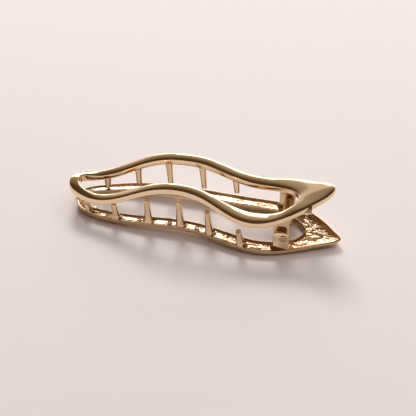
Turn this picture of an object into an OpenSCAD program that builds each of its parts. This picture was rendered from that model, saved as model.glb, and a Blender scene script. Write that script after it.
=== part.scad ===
// Spring hair clip: two hollow-backed cast loops with interleaved teeth, hinged on a cross pin.
// Millimetres. +X runs from the front end of the jaws to the thumb plates, +Z is up.
// The clip lies on its lower jaw. The origin is under the middle of its bounding box.

/* [Casting] */
// Height of the side walls of a jaw's rim
wall_h = 1.2; // [1:0.1:1.4]
// Rise of the domed face beyond the side walls
dome_h = 0.45; // [0.3:0.05:0.6]
// Thickness of the inner side wall beside the hollow back
shell_t = 0.65; // [0.55:0.05:0.75]
// Depth of the hollow back
hollow_d = 0.95; // [0.6:0.05:1]
// Inward slope of the side walls over their height
draft = 0.12; // [0.05:0.01:0.2]

/* [Upper jaw] */
// Length of the upper jaw as a share of the lower one's
upper_length = 0.993; // [0.99:0.001:1]
// Shift of the upper jaw along X against the lower one
upper_shift_x = -1.75; // [-1.9:0.05:-1.5]
// Shift of the upper jaw along Y against the lower one
upper_shift_y = -0.1; // [-0.15:0.05:0]
// Breadth of the upper jaw as a share of the lower one's
upper_breadth = 0.93; // [0.92:0.01:0.94]
// Share by which the tip of the upper thumb plate is broader than the lower one's
tip_spread = 0.4; // [0.2:0.05:0.45]

/* [Hinge] */
// X of the hinge pin
pin_x = 20.15; // [20:0.05:20.3]
// Height of the hinge pin
pin_z = 4.9; // [4.8:0.1:5.1]
// Diameter of the hinge pin
pin_d = 1.2; // [1.1:0.05:1.25]
// Gap around the pin in the upper ears, measured on the radius
pin_gap = 0.05; // [0.03:0.01:0.08]
// X of the middle of the ears
ear_x = 19.55; // [19.45:0.05:19.65]
// Length of an ear along X
ear_w = 3.8; // [3.6:0.1:4]
// Distance from the pin to the free end of an ear
ear_end = 1.8; // [1.6:0.1:1.9]
// Radius of the corners at the free end of an ear
ear_corner_r = 1.3; // [1:0.1:1.5]
// Thickness of a lower ear
lower_ear_t = 1.1; // [0.9:0.1:1.1]
// Thickness of an upper ear
upper_ear_t = 1; // [0.8:0.1:1]
// Side gap between an upper and a lower ear
ear_gap = 0.1; // [0.05:0.05:0.15]
// Y of the outer face of the near lower ear
near_ear_y = -8.85; // [-8.9:0.05:-8.8]
// Y of the outer face of the far lower ear
far_ear_y = 7.4; // [7.3:0.05:7.45]

/* [Spring] */
// Diameter of the spring wire
wire_d = 0.65; // [0.6:0.05:0.65]
// Advance of the coil for each turn
coil_pitch = 0.68; // [0.67:0.01:0.69]
// Whole turns of the coil, beside the part turn between its two legs
coil_turns = 12; // [10:1:12]
// Mean radius of the coil
coil_r = 1.03; // [1.02:0.01:1.1]
// Y of the middle of the coil's first wire
coil_y = -3.5; // [-3.6:0.05:-3.45]
// Direction of the leg that presses on the upper jaw, in degrees above +X
upper_leg_a = 52; // [50:1:54]
// Length of the leg that presses on the upper jaw
upper_leg_l = 8.2; // [7:0.1:8.4]
// Direction of the leg that presses on the lower jaw, in degrees above +X
lower_leg_a = -27; // [-28:1:-25]
// Length of the leg that presses on the lower jaw
lower_leg_l = 5; // [4.6:0.1:5.2]

/* [Teeth] */
// Diameter of a tooth at its root
tooth_root_d = 2; // [1.7:0.1:2.1]
// Diameter of a tooth at its tip
tooth_tip_d = 1.1; // [0.9:0.1:1.2]
// Distance of a tooth's root from the outer edge of the rim
tooth_inset = 1.1; // [1.05:0.05:1.2]

/* [Hidden] */

// The rim of a jaw in plan, one row for each section across the metal, counter-clockwise from the
// front end. A closed cubic B-spline runs through the rows' outer points and another through
// their inner points, which bound the opening.
// Columns: outer x, outer y, inner x, inner y, thickness of the outer wall
RIM = [
    [-32.1,   2.7, -29.4,   3.2, 0.65],
    [-31.2,  -0.2, -28.7,   1.0, 0.65],
    [-28.6,  -2.2, -27.2,  -0.1, 0.65],
    [-25.1,  -3.4, -24.4,  -0.8, 0.65],
    [-20.1,  -4.5, -19.7,  -1.7, 0.65],
    [-14.6,  -5.1, -14.4,  -2.2, 0.65],
    [ -9.1,  -5.4,  -9.1,  -2.4, 0.65],
    [ -4.1,  -5.5,  -3.7,  -2.5, 0.65],
    [  0.9,  -6.7,   1.8,  -3.5, 0.65],
    [  5.9,  -8.5,   6.9,  -5.0, 0.65],
    [  9.9,  -9.8,  10.7,  -6.1, 0.65],
    [ 13.9, -10.5,  14.1,  -6.6, 0.65],
    [ 17.9, -10.1,  17.6,  -6.5, 0.65],
    [ 21.9,  -8.8,  21.3,  -5.5, 0.75],
    [ 26.0,  -7.3,  23.5,  -4.1, 1.30],
    [ 29.8,  -5.9,  24.3,  -2.5, 2.10],
    [ 32.9,  -4.9,  24.6,  -1.5, 2.00],
    [ 33.9,  -3.3,  24.6,  -0.7, 1.50],
    [ 32.0,  -1.7,  24.2,   0.2, 1.00],
    [ 30.0,   1.3,  23.2,   1.6, 0.90],
    [ 27.3,   4.1,  21.7,   3.0, 0.80],
    [ 24.0,   6.7,  19.8,   4.1, 0.70],
    [ 19.8,   8.2,  17.6,   4.9, 0.65],
    [ 14.9,   8.9,  14.1,   5.3, 0.65],
    [  8.9,   9.1,   8.5,   5.5, 0.65],
    [  2.9,   9.4,   2.9,   5.8, 0.65],
    [ -3.1,   9.7,  -3.1,   6.5, 0.65],
    [ -9.1,  10.1,  -8.9,   7.0, 0.65],
    [-15.1,  10.5, -14.7,   7.4, 0.65],
    [-20.1,  10.1, -19.5,   7.2, 0.65],
    [-24.8,   9.1, -24.0,   6.6, 0.65],
    [-28.9,   7.8, -27.6,   6.0, 0.65],
    [-31.4,   5.6, -29.2,   5.0, 0.65],
];

// Height of each jaw along its length, as a cubic B-spline over evenly spaced rows. The lower
// jaw's is that of its domed underside, the upper jaw's is that of the lower edge of its walls.
// Columns: x, lower jaw, upper jaw
HEIGHTS = [
    [-39.6,  1.2,   7.6],
    [-35.6,  0.8,   6.3],
    [-31.6,  0.3,   5.3],
    [-27.6,  0.0,   4.8],
    [-23.6,  0.0,   5.5],
    [-19.6,  0.2,   7.3],
    [-15.6,  0.5,   9.6],
    [-11.6,  0.7,  11.4],
    [ -7.6,  0.8,  12.1],
    [ -3.6,  0.8,  12.2],
    [  0.4,  0.6,  11.9],
    [  4.4,  0.4,  10.2],
    [  8.4,  0.2,   8.6],
    [ 12.4,  0.0,   7.8],
    [ 16.4,  0.0,   8.1],
    [ 20.4,  0.0,   9.4],
    [ 24.4,  0.1,  11.3],
    [ 28.4,  0.3,  13.7],
    [ 32.4,  0.5,  16.5],
    [ 36.4,  0.7,  19.2],
    [ 40.4,  0.9,  22.0],
];

// Teeth of the lower jaw, on its near strand.
// Columns: x of the root, y of the rim's outer edge there, x of the tip, z of the tip
LOWER_TEETH = [
    [-27.6,  -2.4, -28.6,  3.7],
    [-20.8,  -4.3, -21.3,  6.1],
    [-12.7,  -5.2, -13.1,  9.1],
    [ -4.9,  -5.6,  -5.4,  9.9],
    [  2.3,  -7.1,   1.7,  8.7],
    [ 10.2,  -9.7,   9.5,  5.7],
];

// Teeth of the upper jaw, on its far strand, set between those of the lower jaw.
// Columns: x of the root, y of the rim's outer edge there, x of the tip, z of the tip
UPPER_TEETH = [
    [-24.8,   8.6, -24.9,  1.8],
    [-17.4,   9.5, -17.2,  3.4],
    [ -9.8,   9.2,  -9.3,  4.0],
    [ -1.6,   8.7,  -1.0,  4.5],
    [  6.7,   8.2,   7.1,  4.4],
];

// Parts that each space between two rows of the rim is divided into
rim_steps = 3;
// Stations in one turn of the coil
turn_steps = 14;
// Sides of the coil's wire
wire_sides = 6;
// Shares of the rim's width at which the dome's points stand, and their shares of its rise
DOME = [[0.13, 0.55], [0.33, 0.9], [0.5, 1], [0.67, 0.9], [0.87, 0.55]];

rim_h = wall_h + dome_h;
// Depth to which teeth and ears are rooted in the metal behind the hollow back
root_d = 0.2;
upper_ear_inset = lower_ear_t + ear_gap;
pin_head_d = 2;
pin_head_t = 0.2;
leg_gap = 0.1;
tip_start_x = 27.9;
tip_end_x = 31.9;
tip_near_y = -4.9;
heel_x = 26.3;
heel_y = -6.55;
heel_l = 2.6;
heel_t = 1;
heel_drop = 1.05;

// Weights of the four rows around a point of a uniform cubic B-spline, t of the way from the
// second row to the third
function weights(t) = [pow(1 - t, 3), 3 * pow(t, 3) - 6 * t * t + 4,
    -3 * pow(t, 3) + 3 * t * t + 3 * t + 1, pow(t, 3)] / 6;

// The rim's section at position s, counted in rows around the closed loop
function rim_at(s) = let (n = len(RIM), i = floor(s), w = weights(s - i))
    w[0] * RIM[(i + n - 1) % n] + w[1] * RIM[i % n] + w[2] * RIM[(i + 1) % n]
    + w[3] * RIM[(i + 2) % n];

// Height of a jaw at x, from the given column of HEIGHTS
function height_at(x, column) = let (
    step = HEIGHTS[1][0] - HEIGHTS[0][0],
    s = (x - HEIGHTS[0][0]) / step, i = floor(s), w = weights(s - i))
    w[0] * HEIGHTS[i - 1][column] + w[1] * HEIGHTS[i][column]
    + w[2] * HEIGHTS[i + 1][column] + w[3] * HEIGHTS[i + 2][column];

function lower_z(x) = height_at(x, 1);
function upper_z(x) = height_at(x, 2);

// Height of the floor of a jaw's hollow back within r of x, where it lies nearest to the dome
function lower_floor_z(x, r) = max(lower_z(x - r), lower_z(x + r)) + rim_h - hollow_d;
function upper_floor_z(x, r) = min(upper_z(x - r), upper_z(x + r)) + hollow_d;

// A section of the rim as [distance from its outer edge, height above the foot of its walls]
function section(w, outer_t) = concat(
    [[0, 0], [draft, wall_h]],
    [for (d = DOME) [w * d[0], wall_h + dome_h * d[1]]],
    [[w - draft, wall_h], [w, 0], [w - shell_t, 0], [w - shell_t - draft, hollow_d],
     [outer_t + draft, hollow_d], [outer_t, 0]]);

// How far a point of the plan takes part in the spread of the upper thumb plate's tip
function tip_share(x) = pow(min(max((x - tip_start_x) / (tip_end_x - tip_start_x), 0), 1), 2);

// The upper jaw's outline is the lower one's, moved and made a little narrower, with a blunter tip
function upper_plan(p) = [p[0] * upper_length + upper_shift_x,
    p[1] * upper_breadth + upper_shift_y + tip_spread * tip_share(p[0]) * (p[1] - tip_near_y)];

// Points of one section of a jaw in space
function lower_section(r) = let (a = [r[0], r[1]], b = [r[2], r[3]], w = norm(b - a), d = (b - a) / w)
    [for (q = section(w, r[4])) let (p = a + d * q[0]) [p[0], p[1], lower_z(p[0]) + rim_h - q[1]]];
function upper_section(r) = let (a = upper_plan([r[0], r[1]]), b = upper_plan([r[2], r[3]]),
    w = norm(b - a), d = (b - a) / w)
    [for (q = section(w, r[4])) let (p = a + d * q[0]) [p[0], p[1], upper_z(p[0]) + q[1]]];

// Triangles that join rings of m points each into a tube, closed on itself if loop is true
function tube_faces(n, m, loop, flip) = [
    for (i = [0 : n - (loop ? 1 : 2)], j = [0 : m - 1])
        let (k = (i + 1) % n, l = (j + 1) % m,
            a = i * m + j, b = i * m + l, c = k * m + l, d = k * m + j)
        for (f = flip ? [[a, c, b], [a, d, c]] : [[a, b, c], [a, c, d]]) f];

module ring(sections, flip) {
    polyhedron(points = [for (s = sections) each s],
        faces = tube_faces(len(sections), len(sections[0]), true, flip), convexity = 8);
}

rim_positions = [for (i = [0 : len(RIM) * rim_steps - 1]) i / rim_steps];

// A tapered peg from root to tip
module tooth(root, tip) {
    v = tip - root;
    translate(root)
        rotate([0, acos(v[2] / norm(v)), atan2(v[1], v[0])])
            cylinder(d1 = tooth_root_d, d2 = tooth_tip_d, h = norm(v), $fn = 24);
}

// An ear from y0 over t, rooted at the heights foot_l and foot_r of its left and right sides, with
// its free end at height end_z
module ear(y0, t, foot_l, foot_r, end_z) {
    up = end_z > foot_l ? 1 : -1;
    x0 = ear_x - ear_w / 2;
    x1 = ear_x + ear_w / 2;
    corner_z = end_z - up * ear_corner_r;
    translate([0, y0 + t, 0]) rotate([90, 0, 0]) linear_extrude(t) {
        polygon([[x0, foot_l], [x0, corner_z], [x0 + ear_corner_r, end_z], [x1 - ear_corner_r, end_z],
            [x1, corner_z], [x1, foot_r]]);
        for (x = [x0 + ear_corner_r, x1 - ear_corner_r])
            translate([x, corner_z]) circle(r = ear_corner_r, $fn = 40);
    }
}

module cross_bore(d) {
    translate([pin_x, far_ear_y + 1, pin_z])
        rotate([90, 0, 0]) cylinder(d = d, h = far_ear_y - near_ear_y + 2, $fn = 32);
}

// A cast step under the near edge of the upper thumb plate
module heel() {
    translate([0, heel_y + heel_t, 0]) rotate([90, 0, 0]) linear_extrude(heel_t)
        polygon([[heel_x - heel_l, upper_z(heel_x - heel_l)],
            [heel_x - heel_l, upper_z(heel_x - heel_l) + hollow_d / 2],
            [heel_x, upper_z(heel_x) + hollow_d / 2], [heel_x, upper_z(heel_x) - heel_drop]]);
}

module lower_frame() {
    ear_foot_z = lower_floor_z(ear_x, ear_w / 2) - root_d;
    color("#c9a877") difference() {
        union() {
            ring([for (s = rim_positions) lower_section(rim_at(s))], true);
            for (t = LOWER_TEETH)
                tooth([t[0], t[1] + tooth_inset, lower_floor_z(t[0], tooth_root_d / 2) - root_d],
                    [t[2], t[1] + tooth_inset, t[3]]);
            for (y = [near_ear_y, far_ear_y - lower_ear_t])
                ear(y, lower_ear_t, ear_foot_z, ear_foot_z, pin_z + ear_end);
        }
        cross_bore(pin_d);
    }
}

module upper_frame() {
    color("#bfa480") difference() {
        union() {
            ring([for (s = rim_positions) upper_section(rim_at(s))], false);
            for (t = UPPER_TEETH)
                tooth([t[0], t[1] - tooth_inset, upper_floor_z(t[0], tooth_root_d / 2) + root_d],
                    [t[2], t[1] - tooth_inset, t[3]]);
            for (y = [near_ear_y + upper_ear_inset, far_ear_y - upper_ear_inset - upper_ear_t])
                ear(y, upper_ear_t, upper_z(ear_x - ear_w / 2) + hollow_d + root_d,
                    upper_z(ear_x + ear_w / 2) + hollow_d + root_d, pin_z - ear_end);
            heel();
        }
        cross_bore(pin_d + 2 * pin_gap);
    }
}

module hinge_pin() {
    color("#b98c4e") translate([pin_x, near_ear_y, pin_z]) rotate([-90, 0, 0]) {
        cylinder(d = pin_d, h = far_ear_y - near_ear_y, $fn = 32);
        translate([0, 0, -pin_head_t]) cylinder(d = pin_head_d, h = pin_head_t, $fn = 32);
        translate([0, 0, far_ear_y - near_ear_y]) cylinder(d = pin_head_d, h = pin_head_t, $fn = 32);
    }
}

// The coil starts where the upper leg meets it and ends where the lower leg leaves it
coil_start_a = upper_leg_a + 90;
coil_sweep = lower_leg_a - 90 - coil_start_a + 360 * (coil_turns + 1);
coil_rings = ceil(coil_sweep / 360 * turn_steps);
function coil_point(a, r) = [pin_x + r * cos(a), coil_y + (a - coil_start_a) / 360 * coil_pitch,
    pin_z + r * sin(a)];
function wire_ring(a) = [for (k = [0 : wire_sides - 1])
    let (b = 360 * k / wire_sides)
        coil_point(a, coil_r + wire_d / 2 * cos(b)) + [0, wire_d / 2 * sin(b), 0]];

// The way along a leg that stands at angle a
function along(a) = [cos(a), 0, sin(a)];

module spring_coil() {
    helix = [for (i = [0 : coil_rings]) wire_ring(coil_start_a + coil_sweep * i / coil_rings)];
    leg_end = [for (p = helix[coil_rings]) p + lower_leg_l * along(lower_leg_a)];
    rings = concat(helix, [leg_end]);
    last = (len(rings) - 1) * wire_sides;
    color("#caa35f")
        polyhedron(points = [for (r = rings) each r], convexity = 12,
            faces = concat(tube_faces(len(rings), wire_sides, false, true),
                [[for (k = [0 : wire_sides - 1]) k],
                 [for (k = [wire_sides - 1 : -1 : 0]) last + k]]));
}

module spring_leg() {
    start = coil_point(coil_start_a, coil_r) + leg_gap * [0, -1, 0] + leg_gap / 2 * along(upper_leg_a);
    color("#caa35f") translate(start) rotate([0, 90 - upper_leg_a, 0])
        cylinder(d = wire_d, h = upper_leg_l, $fn = 20);
}

lower_frame();
upper_frame();
hinge_pin();
spring_coil();
spring_leg();
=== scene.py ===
import math
import bmesh
import bpy
from mathutils import Matrix, Vector, noise


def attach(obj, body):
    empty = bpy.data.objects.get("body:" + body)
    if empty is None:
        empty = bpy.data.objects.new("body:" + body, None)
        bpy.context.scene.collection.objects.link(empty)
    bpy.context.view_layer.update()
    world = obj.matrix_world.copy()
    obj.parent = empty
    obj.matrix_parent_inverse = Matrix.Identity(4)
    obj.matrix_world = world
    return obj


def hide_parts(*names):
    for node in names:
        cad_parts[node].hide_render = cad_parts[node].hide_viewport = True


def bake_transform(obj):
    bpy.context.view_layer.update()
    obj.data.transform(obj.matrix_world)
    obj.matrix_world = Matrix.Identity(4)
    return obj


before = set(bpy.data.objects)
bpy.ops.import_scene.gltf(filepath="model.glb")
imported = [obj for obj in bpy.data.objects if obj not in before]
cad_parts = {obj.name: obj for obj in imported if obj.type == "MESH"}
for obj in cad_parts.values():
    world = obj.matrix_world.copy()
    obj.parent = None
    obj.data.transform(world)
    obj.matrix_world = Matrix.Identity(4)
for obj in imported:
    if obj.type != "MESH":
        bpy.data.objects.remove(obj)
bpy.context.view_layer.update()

MM = 0.001  # the model is in metres, the sizes below are in millimetres


def mm(x, y, z):
    """A place in the model, from its place in millimetres."""
    return Vector((x, y, z)) * MM


# Camera, above the near side and a little to its right, as the photograph was taken
CAMERA_ELEVATION = math.radians(40)
CAMERA_YAW = math.radians(8.5)
CAMERA_DISTANCE = 420
CAMERA_AIM = mm(0.9, 0.75, 4.0)
SENSOR_W = 36
PHOTO_W = 416          # pixels across the photograph
FOCAL_LENGTH = 1750    # in the same pixels
LENS = SENSOR_W * FOCAL_LENGTH / PHOTO_W

camera = bpy.data.objects.new("camera", bpy.data.cameras.new("camera"))
bpy.context.scene.collection.objects.link(camera)
view_from = Vector((math.sin(CAMERA_YAW) * math.cos(CAMERA_ELEVATION),
                    -math.cos(CAMERA_YAW) * math.cos(CAMERA_ELEVATION),
                    math.sin(CAMERA_ELEVATION)))
camera.location = CAMERA_AIM + view_from * CAMERA_DISTANCE * MM
camera.rotation_mode = "QUATERNION"
camera.rotation_quaternion = (-view_from).to_track_quat("-Z", "Y")
camera.data.sensor_width = SENSOR_W
camera.data.lens = LENS
camera.data.clip_start = 0.01
camera.data.clip_end = 20
bpy.context.scene.camera = camera
bpy.context.scene.view_settings.view_transform = "Standard"

# Materials
HAIRLINE_MM = 0.25       # spacing of the fine lines on drawn wire and turned ends
HAIRLINE_STRETCH = 0.06  # their scale along X, which draws them out


def colour(hex_code):
    """Linear RGBA of an sRGB hex colour."""
    parts = [int(hex_code[i:i + 2], 16) / 255 for i in (1, 3, 5)]
    return [v / 12.92 if v <= 0.04045 else ((v + 0.055) / 1.055) ** 2.4 for v in parts] + [1.0]


def add(tree, kind, sockets=None, **settings):
    """Adds a node with its settings, and links or sets its sockets."""
    node = tree.nodes.new(kind)
    for name, value in settings.items():
        setattr(node, name, value)
    for key, value in (sockets or {}).items():
        if isinstance(value, bpy.types.NodeSocket):
            tree.links.new(value, node.inputs[key])
        else:
            node.inputs[key].default_value = value
    return node


def metal(name, light, dark, rough, grain_mm, grain_height_mm, patch_mm, hairline=0.0, fineness=4.0):
    """A metal whose colour drifts between two tones in patches, with a relief of the given grain."""
    made = bpy.data.materials.new(name)
    made.use_nodes = True
    tree = made.node_tree
    tree.nodes.clear()
    place = add(tree, "ShaderNodeTexCoord").outputs["Object"]
    patches = add(tree, "ShaderNodeTexNoise", {"Vector": place, "Scale": 1 / (patch_mm * MM),
                                               "Detail": 3.0, "Roughness": 0.6})
    tone = add(tree, "ShaderNodeMix", {"Factor": patches.outputs["Fac"], "A": colour(light),
                                       "B": colour(dark)}, data_type="RGBA")
    grain = add(tree, "ShaderNodeTexNoise", {"Vector": place, "Scale": 1 / (grain_mm * MM),
                                             "Detail": fineness, "Roughness": 0.55})
    stretched = add(tree, "ShaderNodeMapping", {"Vector": place, "Scale": (HAIRLINE_STRETCH, 1.0, 1.0)})
    lines = add(tree, "ShaderNodeTexNoise", {"Vector": stretched.outputs["Vector"],
                                             "Scale": 1 / (HAIRLINE_MM * MM), "Detail": 2.0})
    roughness = add(tree, "ShaderNodeMapRange", {"Value": grain.outputs["Fac"], "From Min": 0.3,
                                                 "From Max": 0.7, "To Min": rough * 0.75,
                                                 "To Max": rough * 1.3})
    mixed = add(tree, "ShaderNodeMix", {"Factor": hairline, "A": grain.outputs["Fac"],
                                        "B": lines.outputs["Fac"]}, data_type="FLOAT")
    relief = add(tree, "ShaderNodeBump", {"Height": mixed.outputs["Result"], "Strength": 1.0,
                                          "Distance": grain_height_mm * MM})
    shader = add(tree, "ShaderNodeBsdfPrincipled", {
        "Base Color": tone.outputs["Result"], "Metallic": 1.0, "Roughness": roughness.outputs["Result"],
        "Normal": relief.outputs["Normal"]})
    add(tree, "ShaderNodeOutputMaterial", {"Surface": shader.outputs["BSDF"]})
    return made


# Pale gold plate over a polished zinc casting: a mirror finish with the faint waviness of hand polishing.
polished_gold = metal("polished_pale_gold_plate", "#f6dfbe", "#eed0a6", rough=0.08, grain_mm=2.2,
                      grain_height_mm=0.006, patch_mm=9.0)
# The same plate over the casting's unpolished hollow back: grainy, pitted and warmer where light is caught.
cast_gold = metal("as_cast_gold_plate", "#fff6e8", "#f2d4a8", rough=0.1, grain_mm=1.4,
                  grain_height_mm=0.14, patch_mm=2.5, fineness=1.5)
# The same towards the thumb plate, where the mould left the metal crinkled.
crinkled_gold = metal("crinkled_as_cast_gold_plate", "#fdf0da", "#e8b880", rough=0.09, grain_mm=1.3,
                      grain_height_mm=0.4, patch_mm=2.0, fineness=1.8)
# Gold plated spring wire, drawn, so it is brightest along its turns.
wire_gold = metal("gold_plated_spring_wire", "#e6c68d", "#cfa163", rough=0.24, grain_mm=0.5,
                  grain_height_mm=0.006, patch_mm=1.5, hairline=0.6)
# Gold plated steel pin with turned ends.
pin_gold = metal("gold_plated_steel_pin", "#dfc092", "#c99f66", rough=0.22, grain_mm=0.6,
                 grain_height_mm=0.006, patch_mm=2.0, hairline=0.5)

# Rims of both jaws. The tables of their sections, heights and teeth are the CAD solids' own.
RIM_H = 1.65            # height of a strand, its domed face included
WALL_H = 1.2            # side walls of the upper jaw, below its dome
LOWER_WALL_H = 0.65     # side walls of the lower jaw, whose outer edge is rounder
SHELL_T = 0.58          # inner side wall beside the upper jaw's hollow back
LOWER_SHELL_T = 0.38
TOP_SHARE = 1.0         # how much of the outer wall's thickness shows as a flat foot on the upper jaw
LOWER_TOP_SHARE = 0.62
RIM_TOP = 0.8           # and no more than this where the thumb plate's wall is wider
HOLLOW_D = 0.95         # depth of the hollow back
DRAFT = 0.12            # slope of the side walls
EDGE = 0.1              # softened edges
WALL_SOFT = 0.12        # the walls begin to turn this far below the dome
DOME_INSET = 0.05       # where the dome begins, inside and above the walls
DOME_RISE = 0.04
FLOOR_INSET = 0.12      # the hollow's floor begins this far inside its sloping walls
FLOOR_ROUND = 0.14      # rounding at the foot of those walls, along the floor and up the wall
FLOOR_ROUND_H = 0.16
RIM_STEPS = 3           # rings between two rows of the rim
FLOOR_POINTS = 13       # points across the hollow's floor
# Columns: share of the strand's width, share of the dome's height
DOME = [(0.06, 0.42), (0.13, 0.7), (0.27, 0.91), (0.5, 1.0), (0.73, 0.91), (0.87, 0.7), (0.94, 0.42)]
# Sections across the metal, counter-clockwise from the front end.
# Columns: outer x, outer y, inner x, inner y, thickness of the outer wall
RIM = [
    (-32.1, 2.7, -29.4, 3.2, 0.65), (-31.2, -0.2, -28.7, 1.0, 0.65), (-28.6, -2.2, -27.2, -0.1, 0.65),
    (-25.1, -3.4, -24.4, -0.8, 0.65), (-20.1, -4.5, -19.7, -1.7, 0.65), (-14.6, -5.1, -14.4, -2.2, 0.65),
    (-9.1, -5.4, -9.1, -2.4, 0.65), (-4.1, -5.5, -3.7, -2.5, 0.65), (0.9, -6.7, 1.8, -3.5, 0.65),
    (5.9, -8.5, 6.9, -5.0, 0.65), (9.9, -9.8, 10.7, -6.1, 0.65), (13.9, -10.5, 14.1, -6.6, 0.65),
    (17.9, -10.1, 17.6, -6.5, 0.65), (21.9, -8.8, 21.3, -5.5, 0.75), (26.0, -7.3, 23.5, -4.1, 1.30),
    (29.8, -5.9, 24.3, -2.5, 2.10), (32.9, -4.9, 24.6, -1.5, 2.00), (33.9, -3.3, 24.6, -0.7, 1.50),
    (32.0, -1.7, 24.2, 0.2, 1.00), (30.0, 1.3, 23.2, 1.6, 0.90), (27.3, 4.1, 21.7, 3.0, 0.80),
    (24.0, 6.7, 19.8, 4.1, 0.70), (19.8, 8.2, 17.6, 4.9, 0.65), (14.9, 8.9, 14.1, 5.3, 0.65),
    (8.9, 9.1, 8.5, 5.5, 0.65), (2.9, 9.4, 2.9, 5.8, 0.65), (-3.1, 9.7, -3.1, 6.5, 0.65),
    (-9.1, 10.1, -8.9, 7.0, 0.65), (-15.1, 10.5, -14.7, 7.4, 0.65), (-20.1, 10.1, -19.5, 7.2, 0.65),
    (-24.8, 9.1, -24.0, 6.6, 0.65), (-28.9, 7.8, -27.6, 6.0, 0.65), (-31.4, 5.6, -29.2, 5.0, 0.65),
]
# Height of each jaw along its length: the lower one's domed underside, the upper one's lower edge.
# Columns: x, lower jaw, upper jaw
HEIGHTS = [
    (-39.6, 1.2, 7.6), (-35.6, 0.8, 6.3), (-31.6, 0.3, 5.3), (-27.6, 0.0, 4.8), (-23.6, 0.0, 5.5),
    (-19.6, 0.2, 7.3), (-15.6, 0.5, 9.6), (-11.6, 0.7, 11.4), (-7.6, 0.8, 12.1), (-3.6, 0.8, 12.2),
    (0.4, 0.6, 11.9), (4.4, 0.4, 10.2), (8.4, 0.2, 8.6), (12.4, 0.0, 7.8), (16.4, 0.0, 8.1),
    (20.4, 0.0, 9.4), (24.4, 0.1, 11.3), (28.4, 0.3, 13.7), (32.4, 0.5, 16.5), (36.4, 0.7, 19.2),
    (40.4, 0.9, 22.0),
]

# Plan of the upper jaw, as a change of the rim's own plan
UPPER_LENGTH = 0.993
UPPER_BREADTH = 0.93
UPPER_SHIFT_X = -1.75
UPPER_SHIFT_Y = -0.1
TIP_SPREAD = 0.4        # the tip of the thumb plate is broader, measured from its near corner
TIP_START_X = 27.9
TIP_END_X = 31.9
TIP_NEAR_Y = -4.9
INNER_BULGE = 0.7       # the near strand is broader on its inner side before the thumb plate
# Columns: where the bulge begins, is full, begins to end and ends
BULGE_X = (7, 11, 16, 21)
BULGE_Y = (-8, -7, -3, -2)

# Turns of the upper jaw's dome
END_SLOPE = 0.22        # the rounded left end rolls outwards round this middle
END_FROM_X = -26.0
END_FULL_X = -30.0
END_MIDDLE = Vector((-27.5, 2.8))
END_R = 5.3
CORNER_SLOPE = 0.17     # the far left corner is a facet that falls towards the far side
CORNER_FROM_X = -25.5
CORNER_FULL_X = -30.5
CORNER_FROM_Y = 3.5
CORNER_MIDDLE_Y = 5.6
CREST_SLOPE = 0.09      # the thumb plate falls to the near side of its crest
CREST_Y = -1.8
CREST_REACH = 2.5
CREST_FROM_X = 14
CREST_FULL_X = 22
TIP_FACET_SLOPE = 0.08  # and a facet at its tip falls from this place, in this direction
TIP_FACET_AT = (27.7, 1.0)
TIP_FACET_WAY = (0.82, 0.57)
# Where the dome leans towards the far side (minus) or the near side (plus).
# Columns: x where it begins, is full, begins to end and ends, y of the strand's middle, slope
LEANS = [(6.0, 11.0, 17.5, 19.6, -8.0, -0.1), (19.3, 20.6, 22.5, 24.0, -6.5, 0.09),
         (-28.5, -26.0, -14.0, -8.0, 7.9, 0.11)]
LEAN_SIDE = (0.4, 0.6)  # shares of that y where the strand begins to count, and counts in full

# Floor of the hollow backs. The lower thumb plate's has a broad shoulder that falls from the near wall,
# and a rough shelf beside the opening that ends in a ridge across the plate.
FLOOR_H = 0.76          # rise of the lower jaw's floor along the strands, which tilts down to the far side
FLOOR_TILT = 0.19
UPPER_FLOOR_H = 0.1
PLATE_SOFT_X = 0.8      # half the length over which the strand's floor turns into the plate's
PLATE_SOFT_Y = 1
PLATE_WALL_FROM_X = 13  # rows of the rim right of and nearer than this are the plate's near wall
PLATE_WALL_TO_Y = -4.5
SHOULDER_FROM_X = 23.0
SHOULDER_FULL_X = 29.5
SHOULDER_W = 3.1
SHOULDER_H = 0.79
SHELF_H = 0.4
SHELF_END = (-0.2, 0.4)  # where the shelf begins and ends to fall, from the ridge towards the tip
RIDGE_H = 0.16
RIDGE_W = 0.28
RIDGE_X = 24.65         # where the ridge meets the far wall
RIDGE_Y = 4.5
RIDGE_BEND = 0.11
LUMP_MM = 0.9           # lumps of the casting, coarser towards the thumb plate
LUMP_H = 0.03
ROUGH_LUMP_H = 0.13
ROUGH_FROM_X = 3.0
ROUGH_FULL_X = 16.0
CRINKLED_FROM_X = 6.0

# Teeth. Columns: x of the root, y of the rim's outer edge there, x of the tip, z of the tip
LOWER_TEETH = [(-27.6, -2.4, -28.6, 3.7), (-20.8, -4.3, -21.3, 6.1), (-12.7, -5.2, -13.1, 9.1),
               (-4.9, -5.6, -5.4, 9.9), (2.3, -7.1, 1.7, 8.7), (10.2, -9.7, 9.5, 5.7)]
UPPER_TEETH = [(-24.8, 8.6, -24.9, 1.8), (-17.4, 9.5, -17.2, 3.4), (-9.8, 9.2, -9.3, 4.0),
               (-1.6, 8.7, -1.0, 4.5), (6.7, 8.2, 7.1, 4.4)]
TOOTH_INSET = 1.1       # from the rim's outer edge to the tooth's middle
TOOTH_ROOT_R = 1.0
TOOTH_TIP_R = 0.62
TOOTH_SIDES = 16
# Columns: share of the root's radius, height above the root
TOOTH_FLARE = [(1.1, 0.75), (1.35, 0.36), (1.75, 0.12)]
TIP_TILT = 0.38         # slope of a tooth's cut tip
TIP_CUT_H = 0.1         # the cut tilts the points within this of the tip
OUTER_WALL_GAP = 0.14   # how far roots stay inside the foot of the outer wall
ROOT_D = 0.2            # how far teeth and ears are sunk into the hollow's floor

# Hinge
PIN_X = 20.15
PIN_Z = 4.9
PIN_R = 0.6
PIN_HEAD_R = 1.0
PIN_HEAD_T = 0.2
PIN_HEAD_RIM = 0.02     # straight rim of the head, below its domed face
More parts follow.
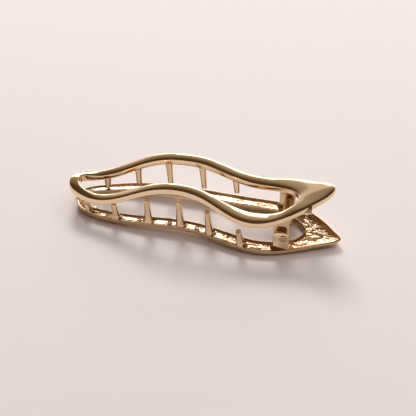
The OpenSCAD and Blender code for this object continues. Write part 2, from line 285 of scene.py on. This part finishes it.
# Columns: share of the head's radius, share of its thickness
PIN_HEAD_FACE = [(0.0, 1.0), (0.55, 1.0), (0.9, 0.6)]
PIN_SIDES = 32
EAR_X = 19.55
EAR_W = 3.8
EAR_END = 1.8           # from the pin's axis to an ear's free end
EAR_CORNER_R = 1.3
EAR_CORNER_STEPS = 6
EAR_EDGE = 0.2
LOWER_EAR_T = 1.1
UPPER_EAR_T = 1.0
EAR_GAP = 0.1
NEAR_EAR_Y = -8.85      # outer face of the near lower ear
FAR_EAR_Y = 7.4         # outer face of the far lower ear
EAR_FLARE = 0.8         # how far an ear widens where it meets the rim
NEAR_EAR_FLARE = 0.1    # less on the right of the near upper ear, which stands close to the wall
FLARE_WAIST = 0.35      # share of the flare that is left at this height
FLARE_WAIST_H = 0.6
FLARE_LEFT_H = 1.6
FLARE_RIGHT_H = 1.4

# Heel under the upper thumb plate's near edge
HEEL_FROM_X = 23.4
HEEL_TO_X = 26.4
HEEL_WALL_Y = -6.0      # the plate's near wall beside the heel's end
HEEL_OUT = 0.85         # how far the heel stands out there
HEEL_SUNK = 0.6         # how far it reaches into the wall
HEEL_LEDGE = 0.05       # flat strip before its top face falls
HEEL_DROP = 1.05        # how far it hangs below the wall
HEEL_SLOPE = 1.95       # how far its top face falls towards the near side
HEEL_ROOT_SHARE = 0.3   # its root is a smaller copy of its end
HEEL_ROOT_SHIFT = -0.7  # and stands this far towards the near side, as the wall does
HEEL_EDGE = 0.08


def ramp(x, start, end):
    """0 at the start, 1 at the end, and even between them."""
    return min(max((x - start) / (end - start), 0.0), 1.0)


def stretch(x, begins, full, fades, ends):
    """1 from full to fades, and falling to 0 at both ends."""
    return ramp(x, begins, full) * ramp(x, ends, fades)


def weights(t):
    """Weights of four rows round a point of a uniform cubic B-spline."""
    return ((1 - t) ** 3 / 6, (3 * t ** 3 - 6 * t * t + 4) / 6,
            (-3 * t ** 3 + 3 * t * t + 3 * t + 1) / 6, t ** 3 / 6)


def blend_rows(rows, s, closed):
    """The row at a place s between the rows of a table, smoothly blended."""
    i = math.floor(s)
    near = [rows[(i + k) % len(rows)] if closed else rows[i + k] for k in (-1, 0, 1, 2)]
    return [sum(w * row[c] for w, row in zip(weights(s - i), near)) for c in range(len(rows[0]))]


def height(x, column):
    step = HEIGHTS[1][0] - HEIGHTS[0][0]
    return blend_rows(HEIGHTS, (x - HEIGHTS[0][0]) / step, False)[column]


def lower_z(x):
    return height(x, 1)


def upper_z(x):
    return height(x, 2)


def lower_plan(x, y):
    return x, y


def upper_plan(x, y):
    spread = TIP_SPREAD * ramp(x, TIP_START_X, TIP_END_X) ** 2 * (y - TIP_NEAR_Y)
    bulge = INNER_BULGE * (stretch(x, *BULGE_X) * stretch(y, *BULGE_Y))
    return x * UPPER_LENGTH + UPPER_SHIFT_X, y * UPPER_BREADTH + UPPER_SHIFT_Y + spread + bulge


def near_wall_y(x):
    """Outer edge of the near strand beside the thumb plate."""
    rows = [row for row in RIM if row[0] > PLATE_WALL_FROM_X and row[1] < PLATE_WALL_TO_Y]
    for a, b in zip(rows, rows[1:]):
        if a[0] <= x <= b[0]:
            return a[1] + (b[1] - a[1]) * (x - a[0]) / (b[0] - a[0])
    return rows[-1][1]


def ridge_side(x, y):
    """Distance from the ridge towards the tip of the thumb plate."""
    return x - RIDGE_X - RIDGE_BEND * (RIDGE_Y - y) ** 2


def lower_relief(p, centre):
    """How far the lower jaw's hollow floor rises at a place in the section with the given centre."""
    rough = ramp(p.x, ROUGH_FROM_X, ROUGH_FULL_X)
    rise = (LUMP_H + (ROUGH_LUMP_H - LUMP_H) * rough) * noise.noise(Vector((p.x, p.y, 0)) / LUMP_MM)
    side = ridge_side(p.x, p.y)
    on_plate = ramp(p.x, SHOULDER_FROM_X - PLATE_SOFT_X, SHOULDER_FROM_X + PLATE_SOFT_X)
    on_plate *= ramp(p.y, RIDGE_Y + PLATE_SOFT_Y, RIDGE_Y - PLATE_SOFT_Y)
    rise += (1 - on_plate) * (FLOOR_H - FLOOR_TILT * (p.y - centre.y))
    rise += on_plate * SHELF_H * (1 - ramp(side, *SHELF_END))
    rise += on_plate * RIDGE_H * math.exp(-(side / RIDGE_W) ** 2)
    if p.y < 0 and p.x > SHOULDER_FROM_X:
        reach = SHOULDER_W * ramp(p.x, SHOULDER_FROM_X, SHOULDER_FULL_X)
        fall = ramp(p.y - near_wall_y(p.x) - RIM_TOP, 0, reach)
        rise = max(rise, SHOULDER_H * (1 - fall))
    return rise


def upper_relief(p, centre):
    """The same for the upper jaw, whose floor is plain."""
    return UPPER_FLOOR_H + LUMP_H * noise.noise(Vector((p.x, p.y, 0)) / LUMP_MM)


def end_roll(p, h):
    """The dome of the upper jaw's rounded left end falls outwards."""
    share = ramp(p.x, END_FROM_X, END_FULL_X) * ramp(h, 0, WALL_H)
    return END_SLOPE * share * (END_R - (p - END_MIDDLE).length)


def corner_fall(p):
    """The facet at the upper jaw's far left corner."""
    share = ramp(p.x, CORNER_FROM_X, CORNER_FULL_X)
    return CORNER_SLOPE * share * (CORNER_MIDDLE_Y - max(p.y, CORNER_FROM_Y))


def plate_fall(p):
    """The upper thumb plate's crest and the small facet at its tip."""
    beyond = TIP_FACET_WAY[0] * (p.x - TIP_FACET_AT[0]) + TIP_FACET_WAY[1] * (p.y - TIP_FACET_AT[1])
    below = min(max(CREST_Y - p.y, 0.0), CREST_REACH)
    return -TIP_FACET_SLOPE * max(beyond, 0.0) - CREST_SLOPE * ramp(p.x, CREST_FROM_X, CREST_FULL_X) * below


def lean(p, h):
    """How far the upper jaw's dome leans sideways at a place."""
    rise = 0.0
    for from_x, full_x, end_x, to_x, middle_y, slope in LEANS:
        share = stretch(p.x, from_x, full_x, end_x, to_x) * ramp(p.y / middle_y, *LEAN_SIDE)
        rise += slope * share * ramp(h, WALL_H, RIM_H) * (p.y - middle_y)
    return rise


def lower_place(p, h):
    """A point of the lower jaw, dome down, from its place in plan and its height in the section."""
    return mm(p.x, p.y, lower_z(p.x) + RIM_H - h)


def upper_place(p, h):
    """The same for the upper jaw, dome up."""
    return mm(p.x, p.y, upper_z(p.x) + h + end_roll(p, h) + corner_fall(p) + plate_fall(p) + lean(p, h))


def outer_face(w, wall_h):
    """Walls and dome of a strand w wide, as (distance across it, height above the foot of its walls)."""
    wall = [(0.0, EDGE), (DRAFT * 0.45, wall_h * 0.5), (DRAFT * 0.9, wall_h - WALL_SOFT),
            (DRAFT + DOME_INSET, wall_h + DOME_RISE)]
    dome = [(w * d, wall_h + (RIM_H - wall_h) * h) for d, h in DOME]
    return wall + dome + [(w - d, h) for d, h in reversed(wall)] + [(w - EDGE, 0.0)]


def hollow_back(a, b, outer_t, relief, shell_t, top_share):
    """The hollow back between outer edge a and inner edge b, from the inner wall to the outer wall."""
    w = (b - a).length
    across = (b - a) / w
    centre = (a + b) / 2
    top = min(outer_t * top_share, RIM_TOP)
    start, end = top + DRAFT + FLOOR_INSET, w - shell_t - DRAFT - FLOOR_INSET
    points = [(w - shell_t + EDGE, 0.0), (w - shell_t, EDGE),
              (end + FLOOR_ROUND, HOLLOW_D - max(FLOOR_ROUND_H, relief(a + across * end, centre)))]
    for i in range(FLOOR_POINTS):
        d = end + (start - end) * i / (FLOOR_POINTS - 1)
        points.append((d, HOLLOW_D - relief(a + across * d, centre)))
    points += [(start - FLOOR_ROUND, HOLLOW_D - max(FLOOR_ROUND_H, relief(a + across * start, centre))),
               (top, EDGE), (top - EDGE, 0.0), (EDGE, 0.0)]
    return points


def rim_stations(plan):
    """Outer edge, inner edge and thickness of the outer wall of each section round the rim."""
    stations = []
    for k in range(len(RIM) * RIM_STEPS + 1):
        row = blend_rows(RIM, k / RIM_STEPS, True)
        stations.append((Vector(plan(row[0], row[1])), Vector(plan(row[2], row[3])), row[4]))
    return stations


def rim_rings(stations, place, relief, wall_h, shell_t, top_share):
    """Rings of points in space, one for each station."""
    rings = []
    for a, b, outer_t in stations:
        points = outer_face((b - a).length, wall_h) + hollow_back(a, b, outer_t, relief, shell_t, top_share)
        across = (b - a).normalized()
        rings.append([place(a + across * d, h) for d, h in points])
    return rings


def start_ring(bm, points):
    """A closed ring of vertices and edges."""
    ring = [bm.verts.new(p) for p in points]
    for i in range(len(ring)):
        bm.edges.new((ring[i], ring[(i + 1) % len(ring)]))
    return ring


def next_ring(bm, ring, points):
    """Extrudes a closed ring of vertices to new places and returns the new ring."""
    count = len(ring)
    edges = [bm.edges.get((ring[i], ring[(i + 1) % count])) for i in range(count)]
    made = set(bmesh.ops.extrude_edge_only(bm, edges=edges)["geom"])
    new = []
    for v, p in zip(ring, points):
        other = next(e.other_vert(v) for e in v.link_edges if e.other_vert(v) in made)
        other.co = p
        new.append(other)
    return new


def rim_mesh(rings):
    """The rim as one tube: polished outside, as cast in its hollow back and crinkled towards the plate."""
    hollow_from = len(outer_face(1.0, WALL_H))
    bm = bmesh.new()
    ring = start_ring(bm, rings[0])
    for points in rings[1:]:
        new = next_ring(bm, ring, points)
        for i in range(hollow_from, len(ring) - 2):
            for f in bm.edges.get((new[i], new[i + 1])).link_faces:
                f.material_index = 2 if new[i].co.x > CRINKLED_FROM_X * MM else 1
        ring = new
    bmesh.ops.remove_doubles(bm, verts=bm.verts, dist=1e-6)
    bmesh.ops.recalc_face_normals(bm, faces=bm.faces)
    return bm


def verts_of(geom):
    """The vertices among what an operator returns."""
    return [v for v in geom if isinstance(v, bmesh.types.BMVert)]


def keep_inside(v, stations):
    """Moves a vertex inwards where it passes the rim's outer wall."""
    place = v.co.xy
    edges = [a for a, _, _ in stations[:-1]]
    i = min(range(len(edges)), key=lambda k: (edges[k] - place).length)
    along_edge = (edges[(i + 1) % len(edges)] - edges[i]).normalized()
    inward = Vector((-along_edge.y, along_edge.x))
    short = OUTER_WALL_GAP - (place - edges[i]).dot(inward)
    if short > 0:
        v.co.xy = place + inward * short


def tooth_mesh(root, tip, stations):
    """A tapered tooth with a cut tip and a flare at its root, which stays inside the rim's outer wall."""
    length = (tip - root).length
    r0, r1 = TOOTH_ROOT_R, TOOTH_TIP_R
    profile = [(0.0, length), (r1 * 0.8, length), (r1 * 0.97, length), (r1 + 0.01, length - 0.05),
               (r1 + 0.03, length - 0.3), (r1 + (r0 - r1) * 0.5, length * 0.5), (r0 * 0.97, length * 0.25)]
    profile += [(r0 * share, h) for share, h in TOOTH_FLARE]
    bm = bmesh.new()
    verts = [bm.verts.new((r, 0, h)) for r, h in profile]
    edges = [bm.edges.new(pair) for pair in zip(verts, verts[1:])]
    bmesh.ops.spin(bm, geom=verts + edges, cent=(0, 0, 0), axis=(0, 0, 1), angle=math.tau,
                   steps=TOOTH_SIDES, use_merge=True)
    bmesh.ops.remove_doubles(bm, verts=bm.verts, dist=1e-4)
    for v in bm.verts:
        if v.co.z > length - TIP_CUT_H:
            v.co.z += TIP_TILT * v.co.y
    turn = Vector((0, 0, 1)).rotation_difference((tip - root).normalized())
    bmesh.ops.transform(bm, matrix=Matrix.Translation(root) @ turn.to_matrix().to_4x4(), verts=bm.verts)
    for v in bm.verts:
        keep_inside(v, stations)
    bmesh.ops.recalc_face_normals(bm, faces=bm.faces)
    bmesh.ops.scale(bm, vec=(MM, MM, MM), verts=bm.verts)
    return bm


def arc(cx, cz, r, start, end, steps):
    """Points of an arc between two angles in degrees."""
    return [(cx + r * math.cos(math.radians(start + (end - start) * i / steps)),
             cz + r * math.sin(math.radians(start + (end - start) * i / steps))) for i in range(steps + 1)]


def ear_outline(foot_left, foot_right, end_z, flare_right):
    """An ear in X and Z, from its flared foot to its rounded free end and back."""
    up = 1 if end_z > foot_left else -1
    x0, x1 = EAR_X - EAR_W / 2, EAR_X + EAR_W / 2
    r = EAR_CORNER_R
    points = [(x0 - EAR_FLARE, foot_left), (x0 - EAR_FLARE * FLARE_WAIST, foot_left + up * FLARE_WAIST_H),
              (x0, foot_left + up * FLARE_LEFT_H)]
    points += arc(x0 + r, end_z - up * r, r, 180, 180 - 90 * up, EAR_CORNER_STEPS)
    points += arc(x1 - r, end_z - up * r, r, 90 * up, 0, EAR_CORNER_STEPS)
    points += [(x1, foot_right + up * FLARE_RIGHT_H),
               (x1 + flare_right * FLARE_WAIST, foot_right + up * FLARE_WAIST_H),
               (x1 + flare_right, foot_right)]
    return points


def ear_mesh(outline, y, thickness):
    """A flat ear with softened edges: its outline, extruded along Y."""
    bm = bmesh.new()
    face = bm.faces.new([bm.verts.new((x, y, z)) for x, z in outline])
    made = bmesh.ops.extrude_face_region(bm, geom=[face])["geom"]
    bmesh.ops.translate(bm, vec=(0, thickness, 0), verts=verts_of(made))
    bmesh.ops.recalc_face_normals(bm, faces=bm.faces)
    caps = [e for e in bm.edges if abs(e.verts[0].co.y - e.verts[1].co.y) < 1e-6]
    bmesh.ops.bevel(bm, geom=caps, offset=EAR_EDGE, offset_type="OFFSET", segments=2, profile=0.5,
                    affect="EDGES", material=-1)
    bmesh.ops.scale(bm, vec=(MM, MM, MM), verts=bm.verts)
    return bm


def heel_mesh():
    """The heel under the thumb plate's near edge: a wedge that grows out of the wall to a square end."""
    z = upper_z(HEEL_TO_X)
    sunk_y, outer_y = HEEL_WALL_Y + HEEL_SUNK, HEEL_WALL_Y - HEEL_OUT
    end = [(sunk_y, z + WALL_H), (HEEL_WALL_Y - HEEL_LEDGE, z + WALL_H), (outer_y, z + WALL_H - HEEL_SLOPE),
           (outer_y, z - HEEL_DROP), (sunk_y, z - HEEL_DROP)]
    bm = bmesh.new()
    face = bm.faces.new([bm.verts.new((HEEL_TO_X, y, z)) for y, z in end])
    root = verts_of(bmesh.ops.extrude_face_region(bm, geom=[face])["geom"])
    way =Vector((HEEL_FROM_X - HEEL_TO_X, HEEL_ROOT_SHIFT, upper_z(HEEL_FROM_X) - z))
    middle = Vector((HEEL_TO_X, HEEL_WALL_Y + HEEL_SUNK / 2, z + WALL_H * 0.5))
    bmesh.ops.scale(bm, vec=(1, HEEL_ROOT_SHARE, HEEL_ROOT_SHARE), space=Matrix.Translation(-middle),
                    verts=root)
    bmesh.ops.translate(bm, vec=way, verts=root)
    bmesh.ops.recalc_face_normals(bm, faces=bm.faces)
    bmesh.ops.bevel(bm, geom=list(bm.edges), offset=HEEL_EDGE, offset_type="OFFSET", segments=2,
                    profile=0.5, affect="EDGES", material=-1)
    bmesh.ops.scale(bm, vec=(MM, MM, MM), verts=bm.verts)
    return bm


def finished(bm, levels):
    """The mesh of a bmesh after Catmull-Clark subdivision."""
    made = bpy.data.meshes.new("part")
    bm.to_mesh(made)
    bm.free()
    if not levels:
        return made
    holder = bpy.data.objects.new("holder", made)
    bpy.context.scene.collection.objects.link(holder)
    smooth = holder.modifiers.new("smooth", "SUBSURF")
    smooth.levels = smooth.render_levels = levels
    dg = bpy.context.evaluated_depsgraph_get()
    out = bpy.data.meshes.new_from_object(holder.evaluated_get(dg))
    bpy.data.objects.remove(holder)
    bpy.data.meshes.remove(made)
    return out


def teeth(rows, inset, root_z, stations):
    """Meshes of a jaw's teeth."""
    made = []
    for x, edge_y, tip_x, tip_z in rows:
        root = Vector((x, edge_y + inset, root_z(x)))
        tip = Vector((tip_x, edge_y + inset, tip_z))
        made.append(finished(tooth_mesh(root, tip, stations), 1))
    return made


def piece(name, meshes, materials, body, node):
    """One object made of several meshes, which rides on a body and stands for a CAD node."""
    bm = bmesh.new()
    for m in meshes:
        bm.from_mesh(m)
        bpy.data.meshes.remove(m)
    for f in bm.faces:
        f.smooth = True
    data = bpy.data.meshes.new(name)
    bm.to_mesh(data)
    bm.free()
    for m in materials:
        data.materials.append(m)
    obj = bpy.data.objects.new(name, data)
    bpy.context.scene.collection.objects.link(obj)
    if body:
        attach(obj, body)
    if node:
        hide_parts(node)
    return obj


def shade_by_angle(obj, degrees):
    """Sharp edges stay sharp where the faces turn by more than this."""
    bm = bmesh.new()
    bm.from_mesh(obj.data)
    for e in bm.edges:
        if len(e.link_faces) == 2 and e.calc_face_angle(0) > math.radians(degrees):
            e.smooth = False
    bm.to_mesh(obj.data)
    bm.free()


# Lower jaw, with its hollow back up
casting_metals = [polished_gold, cast_gold, crinkled_gold]
stations = rim_stations(lower_plan)
rings = rim_rings(stations, lower_place, lower_relief, LOWER_WALL_H, LOWER_SHELL_T, LOWER_TOP_SHARE)
floor_z = RIM_H - HOLLOW_D + FLOOR_H
lower_parts = [finished(rim_mesh(rings), 2)]
lower_parts += teeth(LOWER_TEETH, TOOTH_INSET, lambda x: lower_z(x) + floor_z - ROOT_D, stations)
ear_foot = max(lower_z(EAR_X - EAR_W / 2), lower_z(EAR_X + EAR_W / 2)) + floor_z - ROOT_D
lower_ear = ear_outline(ear_foot, ear_foot, PIN_Z + EAR_END, 0.0)
for y in (NEAR_EAR_Y, FAR_EAR_Y - LOWER_EAR_T):
    lower_parts.append(finished(ear_mesh(lower_ear, y, LOWER_EAR_T), 0))
lower_jaw = piece("lower_jaw_casting", lower_parts, casting_metals, "lower_jaw", "lower_frame")

# Upper jaw, with its domed face up
stations = rim_stations(upper_plan)
rings = rim_rings(stations, upper_place, upper_relief, WALL_H, SHELL_T, TOP_SHARE)
upper_parts = [finished(rim_mesh(rings), 2)]
upper_parts += teeth(UPPER_TEETH, -TOOTH_INSET,
                     lambda x: min(upper_z(x - 1), upper_z(x + 1)) + HOLLOW_D + ROOT_D, stations)
foot_left, foot_right = (upper_z(EAR_X + side * EAR_W / 2) + HOLLOW_D + ROOT_D for side in (-1, 1))
near_y = NEAR_EAR_Y + LOWER_EAR_T + EAR_GAP
far_y = FAR_EAR_Y - LOWER_EAR_T - EAR_GAP - UPPER_EAR_T
for y, flare in ((near_y, NEAR_EAR_FLARE), (far_y, EAR_FLARE)):
    upper_ear = ear_outline(foot_left, foot_right, PIN_Z - EAR_END, flare)
    upper_parts.append(finished(ear_mesh(upper_ear, y, UPPER_EAR_T), 0))
upper_parts.append(finished(heel_mesh(), 0))
upper_jaw = piece("upper_jaw_casting", upper_parts, casting_metals, "upper_jaw", "upper_frame")
for jaw in (lower_jaw, upper_jaw):
    shade_by_angle(jaw, 45)


# Hinge pin, a turned shaft with low domed heads
def pin_end(y, side):
    """Half section of a head as (radius, y), from the middle of its face to the shaft."""
    face = [(PIN_HEAD_R * share, y + side * PIN_HEAD_T * rise) for share, rise in PIN_HEAD_FACE]
    return face + [(PIN_HEAD_R, y + side * PIN_HEAD_RIM), (PIN_HEAD_R, y), (PIN_R, y)]


profile =pin_end(NEAR_EAR_Y, -1) + pin_end(FAR_EAR_Y, 1)[::-1]
bm = bmesh.new()
verts = [bm.verts.new(mm(PIN_X + r, y, PIN_Z)) for r, y in profile]
edges = [bm.edges.new(pair) for pair in zip(verts, verts[1:])]
bmesh.ops.spin(bm, geom=verts + edges, cent=mm(PIN_X, 0, PIN_Z), axis=(0, 1, 0), angle=math.tau,
               steps=PIN_SIDES, use_merge=True)
bmesh.ops.remove_doubles(bm, verts=bm.verts, dist=1e-6)
bmesh.ops.recalc_face_normals(bm, faces=bm.faces)
pin = piece("hinge_pin_rivet", [finished(bm, 0)], [pin_gold], "lower_jaw", "hinge_pin")
shade_by_angle(pin, 40)

# Torsion spring, one wire wound round the pin between its two legs
WIRE_R = 0.325
WIRE_SIDES = 10
COIL_PITCH = 0.68
COIL_TURNS = 12
COIL_R = 1.03
COIL_Y = -3.5           # where the coil begins, at its upper leg
COIL_STEP = 15          # degrees between two rings of the coil
UPPER_LEG_A = 52        # angles in degrees, from +X towards +Z
UPPER_LEG_L = 8.2
LOWER_LEG_A = -27
LOWER_LEG_L = 5.0
LEG_SHARES = (0.05, 0.9, 0.05)  # each leg is extruded in these shares of its length
coil_start_a = UPPER_LEG_A + 90
coil_sweep = LOWER_LEG_A - 90 - coil_start_a + 360 * (COIL_TURNS + 1)


def along(angle):
    """The direction in X and Z at an angle in degrees."""
    return Vector((math.cos(math.radians(angle)), 0, math.sin(math.radians(angle))))


pin_axis = mm(PIN_X, 0, PIN_Z)
pin_way = Vector((0, 1, 0))
across = along(coil_start_a)
start_centre = pin_axis + across * COIL_R * MM + mm(0, COIL_Y, 0)
turn = Matrix((across, pin_way, across.cross(pin_way))).transposed().to_4x4()
bm = bmesh.new()
bmesh.ops.create_circle(bm, cap_ends=False, segments=WIRE_SIDES, radius=WIRE_R * MM)
bmesh.ops.transform(bm, matrix=Matrix.Translation(start_centre) @ turn, verts=bm.verts)
first = list(bm.verts)
steps = round(coil_sweep / COIL_STEP)
turned = bmesh.ops.spin(bm, geom=list(bm.verts) + list(bm.edges), cent=pin_axis, axis=(0, -1, 0),
                        angle=math.radians(coil_sweep), steps=steps,
                        dvec=(0, COIL_PITCH * MM * coil_sweep / 360 / steps, 0))["geom_last"]
last = verts_of(turned)
for ring, angle, length in ((first, UPPER_LEG_A, UPPER_LEG_L), (last, LOWER_LEG_A, LOWER_LEG_L)):
    way = along(angle) * length * MM
    edges = [e for e in bm.edges if e.verts[0] in ring and e.verts[1] in ring]
    for share in LEG_SHARES:
        made = bmesh.ops.extrude_edge_only(bm, edges=edges)["geom"]
        bmesh.ops.translate(bm, vec=way * share, verts=verts_of(made))
        edges = [e for e in made if isinstance(e, bmesh.types.BMEdge)]
        edges = [e for e in edges if all(v in made for v in e.verts)]
    bmesh.ops.contextual_create(bm, geom=edges)
bmesh.ops.recalc_face_normals(bm, faces=bm.faces)
spring = piece("torsion_spring", [finished(bm, 0)], [wire_gold], None, None)
shade_by_angle(spring, 50)
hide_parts("spring_coil", "spring_leg")
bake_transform(spring)

# Floor of pale matt paper, with fibres about a millimetre apart
FLOOR_HALF_W = 1500
FIBRE_MM = 1.2
FIBRE_HEIGHT_MM = 0.02
floor_material = bpy.data.materials.new("pale_matt_paper")
floor_material.use_nodes = True
tree = floor_material.node_tree
tree.nodes.clear()
place = add(tree, "ShaderNodeTexCoord").outputs["Object"]
fibres = add(tree, "ShaderNodeTexNoise", {"Vector": place, "Scale": 1 / (FIBRE_MM * MM), "Detail": 3.0})
relief = add(tree, "ShaderNodeBump", {"Height": fibres.outputs["Fac"], "Strength": 0.2,
                                      "Distance": FIBRE_HEIGHT_MM * MM})
shader = add(tree, "ShaderNodeBsdfPrincipled", {"Base Color": colour("#f3ecea"), "Roughness": 0.9,
                                                "Specular IOR Level": 0.2,
                                                "Normal": relief.outputs["Normal"]})
add(tree, "ShaderNodeOutputMaterial", {"Surface": shader.outputs["BSDF"]})
bm = bmesh.new()
bmesh.ops.create_grid(bm, x_segments=1, y_segments=1, size=FLOOR_HALF_W * MM)
data = bpy.data.meshes.new("floor")
bm.to_mesh(data)
bm.free()
data.materials.append(floor_material)
floor = bpy.data.objects.new("floor", data)
bpy.context.scene.collection.objects.link(floor)

# Area lights that look at the clip. Azimuths are measured from the back, towards the right.
# Columns: name, azimuth, elevation, distance, width, height, power, tint
# These light the floor and cast the shadows, and the metal doesn't mirror them.
LAMPS = [("key", -16, 42, 900, 320, 280, 4.5, "#fffdfb"),
         ("ceiling", 50, 72, 900, 1100, 1100, 4.9, "#fffdff")]
# These are also what the metal mirrors.
WINDOWS = [("window", 2, 14, 1300, 746, 624, 3.7, "#fff9f7"),
           ("left_window", -21, 8.75, 1300, 320, 377, 0.8, "#fff9f7"),
           ("side_panel", -37, 9, 1300, 412, 400, 0.12, "#fff9f7")]


def softbox(name, azimuth, elevation, distance, width, tall, power, tint):
    """An area light that looks at the clip."""
    a, e = math.radians(azimuth), math.radians(elevation)
    way = Vector((math.sin(a) * math.cos(e), math.cos(a) * math.cos(e), math.sin(e)))
    lamp = bpy.data.lights.new(name, "AREA")
    lamp.shape = "RECTANGLE"
    lamp.size, lamp.size_y = width * MM, tall * MM
    lamp.energy = power
    lamp.color = colour(tint)[:3]
    holder = bpy.data.objects.new(name, lamp)
    holder.location = CAMERA_AIM + way * distance * MM
    holder.rotation_mode = "QUATERNION"
    holder.rotation_quaternion = (-way).to_track_quat("-Z", "Y")
    bpy.context.scene.collection.objects.link(holder)
    return holder


for row in LAMPS:
    softbox(*row).visible_glossy = False
for row in WINDOWS:
    softbox(*row)

# The room that the metal mirrors, with a pale back wall and a dark ceiling and front.
# Columns: sine of the elevation, tone there
BACK = [(0.0, "#d4cac0"), (0.3, "#cfc4b4"), (0.5, "#c6bba9"), (0.7, "#a5977f"), (0.86, "#6f5c46"),
        (1.0, "#54412f")]
FRONT = [(0.0, "#b0a096"), (0.2, "#63483a"), (0.45, "#422e20"), (0.8, "#4a3626"), (1.0, "#54412f")]
world = bpy.data.worlds.new("room")
bpy.context.scene.world = world
world.use_nodes = True
tree = world.node_tree
tree.nodes.clear()
way = add(tree, "ShaderNodeTexCoord").outputs["Generated"]
parts = add(tree, "ShaderNodeSeparateXYZ", {"Vector": way})
walls = []
for stops in (FRONT, BACK):
    wall = add(tree, "ShaderNodeValToRGB", {"Fac": parts.outputs["Z"]})
    elements = wall.color_ramp.elements
    while len(elements) < len(stops):
        elements.new(0.5)
    for element, (at, tone) in zip(elements, stops):
        element.position = at
        element.color = colour(tone)
    walls.append(wall.outputs["Color"])
back = add(tree, "ShaderNodeMapRange", {"Value": parts.outputs["Y"], "From Min": 0.45, "From Max": 0.95})
room = add(tree, "ShaderNodeMix", {"Factor": back.outputs["Result"], "A": walls[0], "B": walls[1]},
           data_type="RGBA")
sky = add(tree, "ShaderNodeBackground", {"Color": room.outputs["Result"]})
add(tree, "ShaderNodeOutputWorld", {"Surface": sky.outputs["Background"]})
